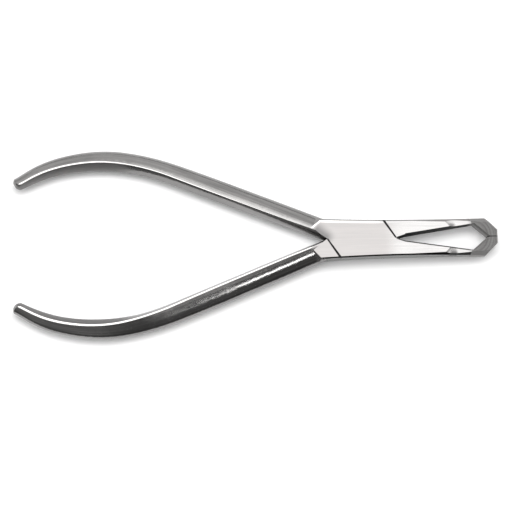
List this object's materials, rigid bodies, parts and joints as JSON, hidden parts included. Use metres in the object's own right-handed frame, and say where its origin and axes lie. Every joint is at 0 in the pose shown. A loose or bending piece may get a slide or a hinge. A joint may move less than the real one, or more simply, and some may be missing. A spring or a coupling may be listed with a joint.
{
  "type": "orthodontic pliers",
  "caption": "Slim stainless steel pliers with a flush lap joint, bowed handles, a hexagonal gap between the jaws and matte chisel tips that meet end to end.",
  "frame": {"origin": "pivot axis at the back face of the joint, on which the pliers lie", "axes": "+X towards the tips, +Z along the pivot out of the front face, +Y towards handle A"},
  "size_m": [0.1373, 0.0538, 0.0062],
  "materials": {
    "polished_steel": "satin polish",
    "rivet_steel": "ground flush",
    "tip_alloy": "matte ground"
  },
  "bodies": {
    "side_a": {"half_a": "polished_steel", "pivot_rivet": "rivet_steel", "tip_insert_a": "tip_alloy"},
    "side_b": {"half_b": "polished_steel", "tip_insert_b": "tip_alloy"}
  },
  "joints": [
    {"name": "pivot", "type": "hinge", "parent": "side_a", "child": "side_b", "pos_m": [0, 0, 0.0031], "axis": [0, 0, 1], "range_deg": [0, 30]}
  ]
}
